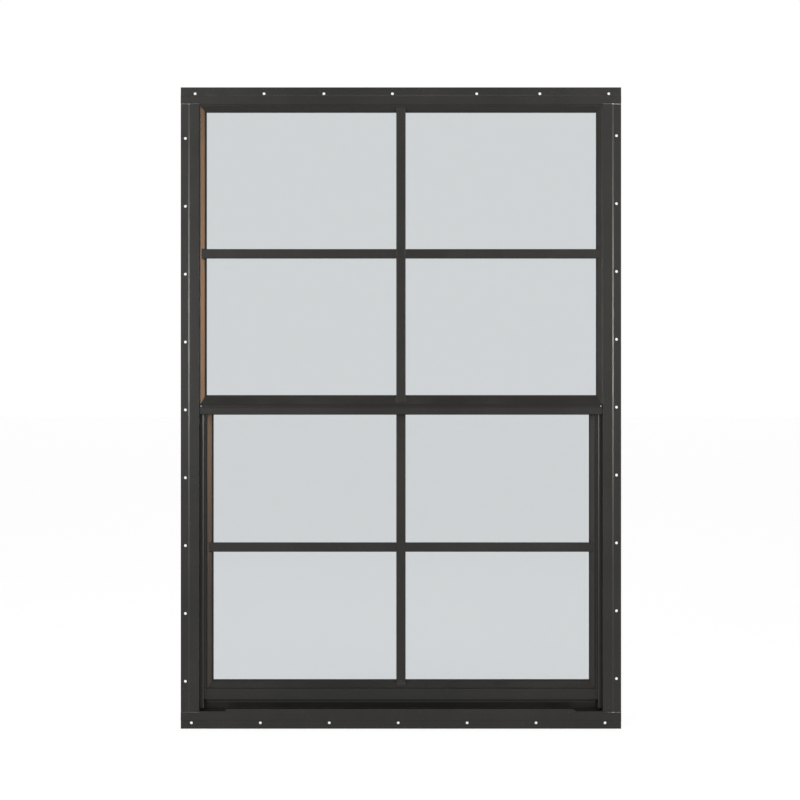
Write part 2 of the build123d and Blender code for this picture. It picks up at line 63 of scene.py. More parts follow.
print("CAD box in mm:", [round(high - low, 1) for low, high in zip(cad_low / MM, cad_high / MM)])

# %% [markdown]
# ## Small helpers for materials
#
# A paint maker gives colours as sRGB hex values, and Blender's shaders work in linear light, so one
# function turns the first into the second. A second function adds a node, sets it and links it.
# Every material below is built with these two, which keeps each recipe short enough to read.

# %% Colour and node helpers
WHITE = "#ffffff"
COLOUR_A, COLOUR_B = 6, 7  # the two colour inputs of a Mix node
MIXED = 2  # and its colour output


def linear(hex_colour):
    """Turn an sRGB hex value into the linear colour that a shader takes."""
    channels = [int(hex_colour[place : place + 2], 16) / 255 for place in (1, 3, 5)]
    return [c / 12.92 if c <= 0.04045 else ((c + 0.055) / 1.055) ** 2.4 for c in channels] + [1.0]


def add_node(owner, kind, inputs=None, **settings):
    """Add a node to a material or the world. Inputs are values, or outputs of other nodes."""
    tree = owner.node_tree
    node = tree.nodes.new(kind)
    for name, value in settings.items():
        setattr(node, name, value)
    for name, value in (inputs or {}).items():
        socket = node.inputs[name]
        if isinstance(value, bpy.types.NodeSocket):
            tree.links.new(value, socket)
        else:
            socket.default_value = value
    return node


def new_material(name):
    """An empty material with its output node."""
    material = bpy.data.materials.new(name)
    material.use_nodes = True
    material.node_tree.nodes.clear()
    return material, add_node(material, "ShaderNodeOutputMaterial")


def finish_material(material, output, shader):
    """Link the shader to the output."""
    material.node_tree.links.new(shader, output.inputs["Surface"])
    print(f"{material.name}: {len(material.node_tree.nodes)} nodes")
    return material


# %% [markdown]
# ## Baked enamel on extruded aluminium
#
# The bars of a window like this are pressed through a die, cut to length, and sprayed with a baked
# enamel. Two things show in the finish. The die leaves hairlines along each bar, which stretch every
# reflection lengthwise, and the spray leaves a faint orange peel. A noise that is stretched along
# the bar gives the first, and a fine even noise the second. Handling dust dulls it in soft patches,
# and sparse specks of grit and scuffs catch the light. The specks are cells of a Voronoi pattern cut
# by the surface close to their middles, which keeps them few and of mixed sizes. The lines run up
# the jambs and along the head, so the recipe takes a direction.

# %% Enamel
DIE_LINE = 1.4 * MM  # spacing of the hairlines, coarser than real ones so that they show
DIE_LINE_LENGTH = 420 * MM
DIE_LINE_DEPTH = 0.05 * MM
ORANGE_PEEL = 2.2 * MM
ORANGE_PEEL_DEPTH = 0.05 * MM
DUST_PATCH = 110 * MM
SPECK_SPACING = 7 * MM
SPECK_RADIUS = 0.45 * MM
SPECK_COLOUR = "#8f8a82"


def enamel(name, colour, dusty_colour, runs_along):
    """Satin enamel whose die lines run along X or along Z."""
    material, output = new_material(name)
    coordinates = add_node(material, "ShaderNodeTexCoord").outputs["Object"]
    across, along = 1 / DIE_LINE, 1 / DIE_LINE_LENGTH
    stretch = (across, across, along) if runs_along == "Z" else (along, across, across)
    stretched = add_node(material, "ShaderNodeMapping", {"Vector": coordinates, "Scale": stretch})
    hairlines = add_node(
        material,
        "ShaderNodeTexNoise",
        {"Vector": stretched.outputs["Vector"], "Scale": 1.0, "Detail": 3.0, "Roughness": 0.6},
    )
    peel = add_node(
        material,
        "ShaderNodeTexNoise",
        {"Vector": coordinates, "Scale": 1 / ORANGE_PEEL, "Detail": 2.0, "Roughness": 0.5},
    )
    dust = add_node(
        material,
        "ShaderNodeTexNoise",
        {"Vector": coordinates, "Scale": 1 / DUST_PATCH, "Detail": 6.0, "Roughness": 0.65},
    )
    dust_amount = add_node(
        material,
        "ShaderNodeMapRange",
        {"Value": dust.outputs["Fac"], "From Min": 0.42, "From Max": 0.72, "To Max": 0.55},
    )
    tone = add_node(
        material,
        "ShaderNodeMix",
        {
            "Factor": dust_amount.outputs["Result"],
            COLOUR_A: linear(colour),
            COLOUR_B: linear(dusty_colour),
        },
        data_type="RGBA",
    )
    cells = add_node(
        material, "ShaderNodeTexVoronoi", {"Vector": coordinates, "Scale": 1 / SPECK_SPACING}
    )
    speck_amount = add_node(
        material,
        "ShaderNodeMapRange",
        {
            "Value": cells.outputs["Distance"],
            "From Min": 0.5 * SPECK_RADIUS / SPECK_SPACING,
            "From Max": SPECK_RADIUS / SPECK_SPACING,
            "To Min": 0.6,
            "To Max": 0.0,
        },
    )
    specked = add_node(
        material,
        "ShaderNodeMix",
        {
            "Factor": speck_amount.outputs["Result"],
            COLOUR_A: tone.outputs[MIXED],
            COLOUR_B: linear(SPECK_COLOUR),
        },
        data_type="RGBA",
    )
    roughness = add_node(
        material,
        "ShaderNodeMapRange",
        {"Value": dust.outputs["Fac"], "From Min": 0.3, "From Max": 0.75, "To Min": 0.27, "To Max": 0.4},
    )
    lines_bump = add_node(
        material,
        "ShaderNodeBump",
        {"Height": hairlines.outputs["Fac"], "Strength": 0.35, "Distance": DIE_LINE_DEPTH},
    )
    peel_bump = add_node(
        material,
        "ShaderNodeBump",
        {
            "Height": peel.outputs["Fac"],
            "Strength": 0.3,
            "Distance": ORANGE_PEEL_DEPTH,
            "Normal": lines_bump.outputs["Normal"],
        },
    )
    shader = add_node(
        material,
        "ShaderNodeBsdfPrincipled",
        {
            "Base Color": specked.outputs[MIXED],
            "Roughness": roughness.outputs["Result"],
            "Normal": peel_bump.outputs["Normal"],
            "IOR": 1.45,
            "Specular IOR Level": 0.35,
        },
    )
    return finish_material(material, output, shader.outputs["BSDF"])


frame_upright = enamel("bronze_enamel_jambs", "#262522", "#33312e", "Z")
frame_level = enamel("bronze_enamel_head_and_sill", "#262522", "#33312e", "X")
sash_upright = enamel("bronze_enamel_stiles", "#211f1e", "#2e2c2a", "Z")
sash_level = enamel("bronze_enamel_sash_rails", "#211f1e", "#2e2c2a", "X")
bead_upright = enamel("bronze_enamel_upright_beads", "#2a2723", "#37322d", "Z")
bead_level = enamel("bronze_enamel_level_beads", "#2a2723", "#37322d", "X")
bar_upright = enamel("bronze_enamel_grille_uprights", "#282624", "#353330", "Z")
bar_level = enamel("bronze_enamel_grille_crossbars", "#282624", "#353330", "X")
# A lighter bronze enamel for the foot clip, the cap's roll and the pin: painted highlight where these
# small parts catch the light.
painted_highlight_enamel = enamel("bronze_enamel_painted_highlight", "#4a4642", "#5e5a55", "X")

# %% [markdown]
# ## Clear float glass
#
# Window glass is floated on molten tin, so both faces are as smooth as a still pond, and the iron in it
# leaves a faint cool grey. The tint here is deeper than that: it is painted shade, standing for a shaded
# backdrop behind the panes. The tint is the shader's own colour, because it is the same all over.
# The roughness stays close to zero, and a very long, shallow noise in the bump gives the gentle
# roller wave that bends a reflection in a real pane.

# %% Glass
ROLLER_WAVE = 260 * MM
ROLLER_WAVE_DEPTH = 0.2 * MM


def float_glass_painted_shade(name, tint):
    """Clear glass with a grey tint, partly painted shade, and a long shallow wave."""
    material, output = new_material(name)
    coordinates = add_node(material, "ShaderNodeTexCoord").outputs["Object"]
    wave = add_node(
        material,
        "ShaderNodeTexNoise",
        {"Vector": coordinates, "Scale": 1 / ROLLER_WAVE, "Detail": 0.0},
    )
    wave_bump = add_node(
        material,
        "ShaderNodeBump",
        {"Height": wave.outputs["Fac"], "Strength": 0.15, "Distance": ROLLER_WAVE_DEPTH},
    )
    shader = add_node(
        material,
        "ShaderNodeBsdfPrincipled",
        {
            "Base Color": linear(tint),
            "Roughness": 0.0,
            "IOR": 1.5,
            "Transmission Weight": 1.0,
            "Normal": wave_bump.outputs["Normal"],
        },
    )
    return finish_material(material, output, shader.outputs["BSDF"])


# The grey tint is partly painted shade, deeper than clear glass alone gives.
glass = float_glass_painted_shade("float_glass_painted_shade", "#cdd1d3")

# %% [markdown]
# ## Rubber, tape, pile and nylon
#
# The seals are dull and nearly black. Extruded vinyl has a soft skin with a fine grain, butyl tape is
# flatter still, and pile is a brush of grey fibres a few tenths of a millimetre across. One recipe
# covers them: a dark colour that a noise varies, a high roughness, and a bump at the size of the
# grain. The latches are moulded nylon, so theirs is the fine spark texture of the mould. The gasket
# reflects least of them all, so its shine is turned down.


# %% Dull fine-grained materials
def grained(name, colour, pale_colour, grain, depth, roughness, stretch=(1, 1, 1), shine=0.5):
    """A dull material with an even grain of a real size."""
    material, output = new_material(name)
    coordinates = add_node(material, "ShaderNodeTexCoord").outputs["Object"]
    stretched = add_node(material, "ShaderNodeMapping", {"Vector": coordinates, "Scale": stretch})
    noise = add_node(
        material,
        "ShaderNodeTexNoise",
        {"Vector": stretched.outputs["Vector"], "Scale": 1 / grain, "Detail": 4.0, "Roughness": 0.6},
    )
    tone = add_node(
        material,
        "ShaderNodeMix",
        {"Factor": noise.outputs["Fac"], COLOUR_A: linear(colour), COLOUR_B: linear(pale_colour)},
        data_type="RGBA",
    )
    bump = add_node(
        material,
        "ShaderNodeBump",
        {"Height": noise.outputs["Fac"], "Strength": 0.6, "Distance": depth},
    )
    shader = add_node(
        material,
        "ShaderNodeBsdfPrincipled",
        {
            "Base Color": tone.outputs[MIXED],
            "Roughness": roughness,
            "Normal": bump.outputs["Normal"],
            "Specular IOR Level": shine,
        },
    )
    return finish_material(material, output, shader.outputs["BSDF"])


vinyl = grained("extruded_vinyl_gasket", "#131313", "#1f1e1e", 0.8 * MM, 0.05 * MM, 0.6, shine=0.3)
butyl = grained("butyl_glazing_tape", "#1b1b1b", "#262626", 1.5 * MM, 0.08 * MM, 0.85)
pile = grained("polypropylene_pile", "#4a4a48", "#7b7a77", 0.5 * MM, 0.4 * MM, 0.95, (1, 1, 0.3))
foam = grained("foamed_rubber_seal", "#141414", "#222222", 1.1 * MM, 0.12 * MM, 0.8)
nylon = grained("moulded_nylon_latch", "#1d1c1b", "#2a2927", 0.6 * MM, 0.06 * MM, 0.5)

# %% [markdown]
# ## Bare and plated metal
#
# The bars are sprayed before they are sawn, so each cut end is bare aluminium and shows as a bright
# thread in a dark window. Screws and rivets are zinc-plated steel, a little bluer and cloudier. Both
# are metals: their colour is that of their reflection, and a noise breaks up the polish.


# %% Metals
def bright_metal(name, colour, clouded_colour, grain, low_roughness, high_roughness):
    """Bare or plated metal with a cloudy polish."""
    material, output = new_material(name)
    coordinates = add_node(material, "ShaderNodeTexCoord").outputs["Object"]
    cloud = add_node(
        material,
        "ShaderNodeTexNoise",
        {"Vector": coordinates, "Scale": 1 / grain, "Detail": 5.0, "Roughness": 0.6},
    )
    tone = add_node(
        material,
        "ShaderNodeMix",
        {"Factor": cloud.outputs["Fac"], COLOUR_A: linear(colour), COLOUR_B: linear(clouded_colour)},
        data_type="RGBA",
    )
    roughness = add_node(
        material,
        "ShaderNodeMapRange",
        {"Value": cloud.outputs["Fac"], "To Min": low_roughness, "To Max": high_roughness},
    )
    shader = add_node(
        material,
        "ShaderNodeBsdfPrincipled",
        {
            "Base Color": tone.outputs[MIXED],
            "Metallic": 1.0,
            "Roughness": roughness.outputs["Result"],
        },
    )
    return finish_material(material, output, shader.outputs["BSDF"])


cut_aluminium = bright_metal("saw_cut_aluminium", "#e8e9ea", "#c4c5c6", 2 * MM, 0.16, 0.3)
zinc_plate = bright_metal("zinc_plated_steel", "#b9bdc2", "#8f9499", 1.5 * MM, 0.25, 0.45)

# %% [markdown]
# ## Dress the CAD nodes
#
# Each CAD node keeps its shape and takes a finish in its material slot. The table says which finish
# a node wears by the words in its name, so a bar that is added to the drawing later is dressed too.

# %% Finishes by node
FINISHES = (
    ("_glass", glass),
    ("_gasket", vinyl),
    ("_tape", butyl),
    ("_pile", pile),
    ("seal", foam),
    ("latch", nylon),
    ("grille_upright", bar_upright),
    ("grille_crossbar", bar_level),
    ("bead_left", bead_upright),
    ("bead_right", bead_upright),
    ("bead", bead_level),
    ("stile", sash_upright),
    ("sash", sash_level),
    ("jamb", frame_upright),
    ("", frame_level),
)
for name, node in nodes.items():
    finish = next(material for words, material in FINISHES if words in name)
    node.data.materials.clear()
    node.data.materials.append(finish)
print("dressed", len(nodes), "CAD nodes")

# %% [markdown]
# ## How the small pieces are made
#
# What follows is hardware of a few millimetres. A kind that repeats, such as a screw, is made once,
# at the origin, with its axis up, from a turned outline or a small extruded shape, and is then copied
# to its places. Long or fitted pieces are made where they belong. Either way the place is in the mesh,
# and the object itself stays at the origin. The operators may number points and faces differently in
# each run, so both are put in a fixed order at the end.

# %% Helpers for small pieces
SAME_POINT = 0.001 * MM  # points that lie closer than this are merged


def put_in_order(items, key):
    """Number a mesh's points or faces by a key."""
    for place, item in enumerate(sorted(items, key=key)):
        item.index = place
    items.sort()
    items.index_update()


def new_piece(name, mesh, finish):
    """Make an object of the mesh. It rides on the window and may take its finish from a slot."""
    put_in_order(mesh.verts, lambda point: tuple(point.co))
    put_in_order(mesh.faces, lambda face: sorted(point.index for point in face.verts))
    bmesh.ops.recalc_face_normals(mesh, faces=mesh.faces)
    data = bpy.data.meshes.new(name)
    mesh.to_mesh(data)
    mesh.free()
    data.materials.append(finish)
    piece = bpy.data.objects.new(name, data)
    bpy.context.scene.collection.objects.link(piece)
    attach(piece, "root")
    print(name, len(data.polygons), "faces")
    return piece


def pick(items, kind):
    """The items of one kind, such as BMVert."""
    return [item for item in items if isinstance(item, kind)]


def extrude(mesh, face, run):
    """Extrude a lone face along a run, and give back all that grew."""
    grown = bmesh.ops.extrude_face_region(mesh, geom=[face])["geom"]
    bmesh.ops.translate(mesh, verts=pick(grown, BMVert), vec=run)
    return grown


def round_edges(mesh, edges, radius, steps):
    """Bevel edges. A profile of 0.5 makes them round, and -1 keeps each face's material."""
    bmesh.ops.bevel(
        mesh, geom=edges, offset=radius, segments=steps, profile=0.5, affect="EDGES", material=-1
    )


def turn(mesh, outline, steps):
    """Turn a half outline about Z. Its points are (radius, height), and both ends are on the axis."""
    points = [mesh.verts.new((radius, 0, height)) for radius, height in outline]
    lines = [mesh.edges.new(pair) for pair in zip(points, points[1:])]
    bmesh.ops.spin(
        mesh,
        geom=points + lines,
        cent=(0, 0, 0),
        axis=(0, 0, 1),
        dvec=(0, 0, 0),
        angle=math.tau,
        steps=steps,
        use_merge=True,
    )
    bmesh.ops.remove_doubles(mesh, verts=mesh.verts, dist=SAME_POINT)


def copy_to(mesh, places):
    """Copy all that the mesh holds to each place, and delete the first."""
    first = [*mesh.verts, *mesh.edges, *mesh.faces]
    first_points = list(mesh.verts)
    for place in places:
        copied = bmesh.ops.duplicate(mesh, geom=first)["geom"]
        bmesh.ops.transform(mesh, matrix=place, verts=pick(copied, BMVert))
    bmesh.ops.delete(mesh, geom=first_points, context="VERTS")


def facing(direction, place):
    """A place whose Z axis looks along a direction."""
    turned = Vector(direction).to_track_quat("Z", "Y").to_matrix().to_4x4()
    return Matrix.Translation(place) @ turned


# %% [markdown]
# ## Assembly screws
#
# The frame's corners aren't welded: a hex washer-head screw goes through each jamb's web into a
# channel in the end of the head, the sill or the meeting rail. The heads are out of sight once the
# window is in the wall, but they show from the side here. The washer and its skirt are turned, and
# the hexagon is a six-sided disc, extruded, hollowed a little on top and bevelled.

# %% Assembly screws
WASHER_RADIUS = 3.6 * MM
WASHER_THICKNESS = 0.7 * MM
WASHER_WALL = 0.4  # share of the thickness that stands upright
WASHER_TOP = 0.9  # share of the radius where the skirt ends
WASHER_SIDES = 32
HEX_RADIUS = 3.0 * MM
HEX_HEIGHT = 2.4 * MM
HEX_RIM = 0.9 * MM
HEX_DISH = 0.5 * MM
HEX_EDGE = 0.25 * MM
WEB_BACK = 301.0 * MM  # from the window's middle to the outer face of a jamb's web
SCREW_FRONT, SCREW_REAR = 6.0 * MM, 29.0 * MM  # depths behind the fin's back
RAIL_SCREW_DEPTH = 5.5 * MM
HEAD_SCREW_DROP = 31.0 * MM  # below the window's top
RAIL_SCREW_RISE = 5.0 * MM  # above the foot of the meeting rail
SILL_FRONT_RISE, SILL_REAR_RISE = 30.5 * MM, 32.0 * MM  # above the window's foot
window_foot, window_top = cad_low.z, cad_high.z
rail_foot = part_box("meeting_rail")[0].z

screws = bmesh.new()
bmesh.ops.create_circle(screws, cap_ends=True, segments=6, radius=HEX_RADIUS)
bmesh.ops.translate(screws, verts=screws.verts, vec=(0, 0, WASHER_THICKNESS))
extrude(screws, next(iter(screws.faces)), (0, 0, HEX_HEIGHT))
top = max(screws.faces, key=lambda face: face.calc_center_median().z)
rim = list(top.edges)
bmesh.ops.inset_region(screws, faces=[top], thickness=HEX_RIM)
bmesh.ops.translate(screws, verts=top.verts, vec=(0, 0, -HEX_DISH))
round_edges(screws, rim, HEX_EDGE, steps=2)
turn(
    screws,
    (
        (0, 0),
        (WASHER_RADIUS, 0),
        (WASHER_RADIUS, WASHER_WALL * WASHER_THICKNESS),
        (WASHER_TOP * WASHER_RADIUS, WASHER_THICKNESS),
        (0, WASHER_THICKNESS),
    ),
    WASHER_SIDES,
)
screw_heights = (
    (window_top - HEAD_SCREW_DROP, SCREW_FRONT),
    (window_top - HEAD_SCREW_DROP, SCREW_REAR),
    (rail_foot + RAIL_SCREW_RISE, RAIL_SCREW_DEPTH),
    (window_foot + SILL_FRONT_RISE, SCREW_FRONT),
    (window_foot + SILL_REAR_RISE, SCREW_REAR),
)
screw_places = [
    facing((side, 0, 0), (side * WEB_BACK, depth, height))
    for side in (-1, 1)
    for height, depth in screw_heights
]
copy_to(screws, screw_places)
new_piece("assembly_screws", screws, zinc_plate)

# %% [markdown]
# ## Bright threads at the corner joints
#
# The bars are sawn after they are sprayed, so the end of each jamb is bare aluminium. In the open
# joint with the head or the sill it shows as a bright thread, which a burr left by the saw widens on
# the nail strip. A thread starts as a small upright rectangle at the fin's outer edge, is extruded
# along the strip, up the step and across the face band, and narrows to fit the joint on the way.

# %% Joint threads
FIN_THICKNESS = 1.6 * MM
STEP_START = 11.0 * MM  # from the fin's outer edge, as are the next three
STEP_END = 13.4 * MM
BAND_END = 27.2 * MM
SHORT_END = 20.0 * MM  # of the thread at the bottom right
FACE_FRONT = -2.6 * MM
JOINT_LINE = 24.6 * MM  # from the window's top or bottom edge to the middle of the joint
JOINT_WIDTH = 0.16 * MM  # a little less than the open joint
THREAD_DEPTH = 0.5 * MM
THREAD_INSET = 0.1 * MM  # from the fin's outer edge
BURR_PROUD = 0.12 * MM


def place_end(mesh, end, x, front, height, width):
    """Slide the end of a thread to its place, and give it the thread's width there."""
    points = list(end.verts)
    nearest = min(point.co.y for point in points)
    bmesh.ops.translate(mesh, verts=points, vec=(x - points[0].co.x, front - nearest, 0))
    flatten = Matrix.Diagonal((1, 1, width / (2 * abs(points[0].co.z - height)), 1))
    centre = Matrix.Translation((0, 0, -height))
    bmesh.ops.transform(mesh, matrix=centre.inverted() @ flatten @ centre, verts=points)


def add_thread(mesh, side, height, strip_width, band_width, reach):
    """One thread, from the fin's outer edge inwards. Widths are those seen from the front."""
    start = side * (cad_high.x - THREAD_INSET)
    strip_front, strip_back = -FIN_THICKNESS - BURR_PROUD, -FIN_THICKNESS + THREAD_DEPTH
    corners = ((-1, strip_front), (1, strip_front), (1, strip_back), (-1, strip_back))
    first = mesh.faces.new(
        [mesh.verts.new((start, depth, height + half * strip_width / 2)) for half, depth in corners]
    )
    end = pick(bmesh.ops.extrude_face_region(mesh, geom=[first])["geom"], BMFace)[0]
    place_end(mesh, end, side * (cad_high.x - STEP_START), strip_front, height, strip_width)
    for distance in (STEP_END, reach):
        end = bmesh.ops.extrude_discrete_faces(mesh, faces=[end])["faces"][0]
        place_end(mesh, end, side * (cad_high.x - distance), FACE_FRONT, height, band_width)


threads = bmesh.new()
joint_top, joint_foot = window_top - JOINT_LINE, window_foot + JOINT_LINE
for side, height, strip_width, band_width, reach in (
    (-1, joint_top, 0.2 * MM, 0.1 * MM, BAND_END),
    (1, joint_top, 0.7 * MM, JOINT_WIDTH, BAND_END),
    (-1, joint_foot, 0.1 * MM, 0.06 * MM, BAND_END),
    (1, joint_foot, 0.3 * MM, 0.1 * MM, SHORT_END),
):
    add_thread(threads, side, height, strip_width, band_width, reach)
new_piece("joint_threads", threads, cut_aluminium)

# %% [markdown]
# ## Rivets at the ends of the meeting rail
#
# A small rivet at each end of the meeting rail holds its bead down, in the groove above the rail's
# face, and shows as a bright dot. Its dome is a quarter of an ellipse, turned, on a short shank that
# stands on the floor of the groove.

# %% Rail rivets
RIVET_RADIUS = 1.35 * MM
RIVET_DOME = 0.9 * MM
RIVET_SHANK = 2.2 * MM
RIVET_SIDES = 24
DOME_STEPS = 6
RIVET_INSET = 2.3 * MM  # from the jamb's web
RIVET_RISE = 12.2 * MM  # above the foot of the meeting rail
WEB_FACE = 299.5 * MM  # from the window's middle to the inner face of a jamb's web
GROOVE_FLOOR = 2.4 * MM  # behind the fin's back
rivets = bmesh.new()
dome = [(0, 0), (RIVET_RADIUS, 0)]
for step in range(DOME_STEPS):
    angle = math.radians(90) * step / DOME_STEPS
    dome.append((RIVET_RADIUS * math.cos(angle), RIVET_SHANK + RIVET_DOME * math.sin(angle)))
dome.append((0, RIVET_SHANK + RIVET_DOME))
turn(rivets, dome, RIVET_SIDES)
rivet_height = rail_foot + RIVET_RISE
copy_to(
    rivets,
    [
        facing((0, -1, 0), (side * (WEB_FACE - RIVET_INSET), GROOVE_FLOOR, rivet_height))
        for side in (-1, 1)
    ],
)
new_piece("rail_rivets", rivets, zinc_plate)

# %% [markdown]
# ## Lips and heels of the glazing
#
# Two thin lines of the glazing lie at the edges of a bead. A gasket ends in a soft lip that wipes the
# glass, and the bead presses it out by a different amount on each side. At its other edge the bead
# has a heel, a narrow rib that snaps in beside the frame and nearly fills the groove there. Both are
# straight strips: a cube that is scaled to its length and bevelled along its edges.

# %% Strips
SEAT = 0.02 * MM  # between a strip and what it lies against
STRIP_EDGE = 0.2 * MM


def add_strip(mesh, low, high):
    """A straight strip with bevelled edges, between two opposite corners."""
    low, high = Vector(low), Vector(high)
    points = bmesh.ops.create_cube(mesh, size=1.0)["verts"]
    bmesh.ops.scale(mesh, verts=points, vec=high - low)
    bmesh.ops.translate(mesh, verts=points, vec=(low + high) / 2)
    edges = list({edge for point in points for edge in point.link_edges})
    round_edges(mesh, edges, STRIP_EDGE, steps=2)


# %% Gasket lips
GASKET_SHOWS = 1.7 * MM  # of the gasket, past the bead's toe
LIP_SETBACK = 0.2 * MM  # behind the gasket's front
lips = bmesh.new()
for light, head_bead, left_lip, foot_lip, head_lip in (
    ("upper", "head", 1.4 * MM, 1.1 * MM, 1.0 * MM),
    ("lower", "top", 1.0 * MM, 1.3 * MM, 1.5 * MM),
):
    gasket_low, gasket_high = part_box(f"{light}_gasket")
    front, back = gasket_low.y + LIP_SETBACK, gasket_high.y - SEAT
    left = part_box(f"{light}_bead_left")[1].x + GASKET_SHOWS + SEAT
    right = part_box(f"{light}_bead_right")[0].x - GASKET_SHOWS - SEAT
    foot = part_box(f"{light}_bead_bottom")[1].z + GASKET_SHOWS + SEAT
    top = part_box(f"{light}_bead_{head_bead}")[0].z - GASKET_SHOWS - SEAT
    add_strip(lips, (left, front, foot), (left + left_lip, back, top))
    add_strip(lips, (left + left_lip + SEAT, front, foot), (right, back, foot + foot_lip))
    add_strip(lips, (left + left_lip + SEAT, front, top - head_lip), (right, back, top))
new_piece("gasket_lips", lips, vinyl)

# %% Bead heels
HEEL_DEPTH = 3.0 * MM
HEEL_FRONT = -2.2 * MM  # at the head and on the right
LEFT_HEEL_FRONT = -1.2 * MM
RIDGE_SIDE = 298.3 * MM  # from the window's middle to the ridge of a side bead
RIDGE_HEAD = 27.8 * MM  # from the window's top to the ridge of the head bead
RIDGE_FOOT = 14.4 * MM  # from the foot of the meeting rail to the ridge of its bead
HEAD_GROOVE = 26.0 * MM  # from the window's top to the top of the groove at the head
groove_top = window_top - HEAD_GROOVE - SEAT
ridge_top = window_top - RIDGE_HEAD
ridge_foot = rail_foot + RIDGE_FOOT
heels = bmesh.new()
for side, front in ((-1, LEFT_HEEL_FRONT), (1, HEEL_FRONT)):
    edges = sorted((side * (RIDGE_SIDE + SEAT), side * (WEB_FACE - SEAT)))
    add_strip(heels, (edges[0], front, ridge_foot), (edges[1], front + HEEL_DEPTH, ridge_top))
add_strip(
    heels,
    (-WEB_FACE + SEAT, HEEL_FRONT, ridge_top + SEAT),
    (WEB_FACE - SEAT, HEEL_FRONT + HEEL_DEPTH, groove_top),
)
new_piece("bead_heels", heels, bead_level)

# %% [markdown]
# ## Clips of the upper grille
#
# The upper grille lies on the glass and is held by a spring clip at the end of each bar. The clip's two
# ears lie on the slope of the bead, one on each side of the bar, and are sprayed with the bars. The clip
# at the foot, on the meeting rail, takes a lighter enamel instead: a painted highlight where its ears
# face up.
# An ear is a narrow plate that lies along the slope, extruded to its thickness and bevelled. The
# slope is that of the bead: it falls by the same 5.6 mm on all sides, over a width that is larger on
# the meeting rail.

# %% Grille clips
SLOPE_RISE = 5.6 * MM
SLOPE_WIDTH = 6.2 * MM  # from ridge to toe, seen from the front, at the head and the sides
RAIL_SLOPE_WIDTH = 11.4 * MM  # the same on the meeting rail
BEAD_FRONT = -2.5 * MM  # front edge of the upper light's beads, before it is rounded
EAR_WIDTH = 1.3 * MM
EAR_THICKNESS = 0.7 * MM
EAR_SHARE = (0.5, 0.96)  # the part of the slope that an ear covers, from the ridge to the toe
EAR_CLEARANCE = 0.12 * MM  # above the slope
EAR_GAP = 0.1 * MM  # beside the bar
EAR_EDGE = 0.15 * MM
BAR_HALF_WIDTH = 7.0 * MM
upright_low, upright_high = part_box("upper_grille_upright")
cross_low, cross_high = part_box("upper_grille_crossbar")
upright_x = (upright_low.x + upright_high.x) / 2
crossbar_z = (cross_low.z + cross_high.z) / 2


def add_ear(mesh, ridge, toe, along, side):
    """One ear, between two points on the bead's slope, beside a bar that runs along a direction."""
    slope = Vector(toe) - Vector(ridge)
    sideways = Vector(along).cross(Vector((0, 1, 0)))
    across = sideways * side
    lift = slope.cross(sideways).normalized()
    if lift.y > 0:
        lift = -lift
    start = Vector(ridge) + slope * EAR_SHARE[0] + across * BAR_HALF_WIDTH + lift * EAR_CLEARANCE
    run = slope * (EAR_SHARE[1] - EAR_SHARE[0])
    foot = mesh.faces.new(
        [
            mesh.verts.new(start + across * EAR_GAP),
            mesh.verts.new(start + across * EAR_WIDTH),
            mesh.verts.new(start + across * EAR_WIDTH + run),
            mesh.verts.new(start + across * EAR_GAP + run),
        ]
    )
    grown = extrude(mesh, foot, lift * EAR_THICKNESS)
    round_edges(mesh, pick(grown, BMEdge), EAR_EDGE, steps=2)


def add_clips(name, finish, slope_lines):
    """Clips at some ends. A line gives the ridge, the run from ridge to toe, and the bar's way."""
    mesh = bmesh.new()
    for ridge, run, along in slope_lines:
        ridge = Vector(ridge) + Vector((0, BEAD_FRONT, 0))
        toe = ridge + Vector(run) + Vector((0, SLOPE_RISE, 0))
        for side in (-1, 1):
            add_ear(mesh, ridge, toe, along, side)
    return new_piece(name, mesh, finish)


grille_clips = add_clips(
    "grille_clips",
    bar_level,
    (
        ((upright_x, 0, ridge_top), (0, 0, -SLOPE_WIDTH), (0, 0, 1)),
        ((-RIDGE_SIDE, 0, crossbar_z), (SLOPE_WIDTH, 0, 0), (1, 0, 0)),
        ((RIDGE_SIDE, 0, crossbar_z), (-SLOPE_WIDTH, 0, 0), (1, 0, 0)),
    ),
)
# The foot clip's lighter enamel is a painted highlight.
add_clips(
    "grille_foot_clip",
    painted_highlight_enamel,
    (((upright_x, 0, ridge_foot), (0, 0, RAIL_SLOPE_WIDTH), (0, 0, 1)),),
)

# %% [markdown]
# ## Cap and pin at the foot of the lower grille
#
# On the sash, the upright's foot ends in a thin enamelled cap, and a pin above it shows as a dot,
# lighter by a painted highlight in its enamel.
# The cap is a folded sheet. Its section, a shallow U that fits round the bar, is one face that is
# extruded along the bar. The folds are bevelled, and a plane cuts the end to the slope of the bead.

# %% Foot cap
CAP_LENGTH = 4.6 * MM
CAP_THICKNESS = 0.35 * MM
CAP_DEPTH = 3.9 * MM
CAP_ROUND = 1.1 * MM
CAP_FIT = 0.02 * MM
FOOT_SLOPE = 9.0 * MM  # width of the bead's slope under the foot
foot_low, foot_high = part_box("lower_grille_upright")
foot_x = (foot_low.x + foot_high.x) / 2
inner_half = BAR_HALF_WIDTH + CAP_FIT
outer_half = inner_half + CAP_THICKNESS
inner_face = foot_low.y - CAP_FIT
outer_face = inner_face - CAP_THICKNESS
cap_back = foot_low.y + CAP_DEPTH
section = (
    (-outer_half, cap_back),
    (-outer_half, outer_face),
    (outer_half, outer_face),
    (outer_half, cap_back),
    (inner_half, cap_back),
    (inner_half, inner_face),
    (-inner_half, inner_face),
    (-inner_half, cap_back),
)
cap = bmesh.new()
cap_face = cap.faces.new([cap.verts.new((foot_x + x, y, foot_low.z)) for x, y in section])
extrude(cap, cap_face, (0, 0, CAP_LENGTH))
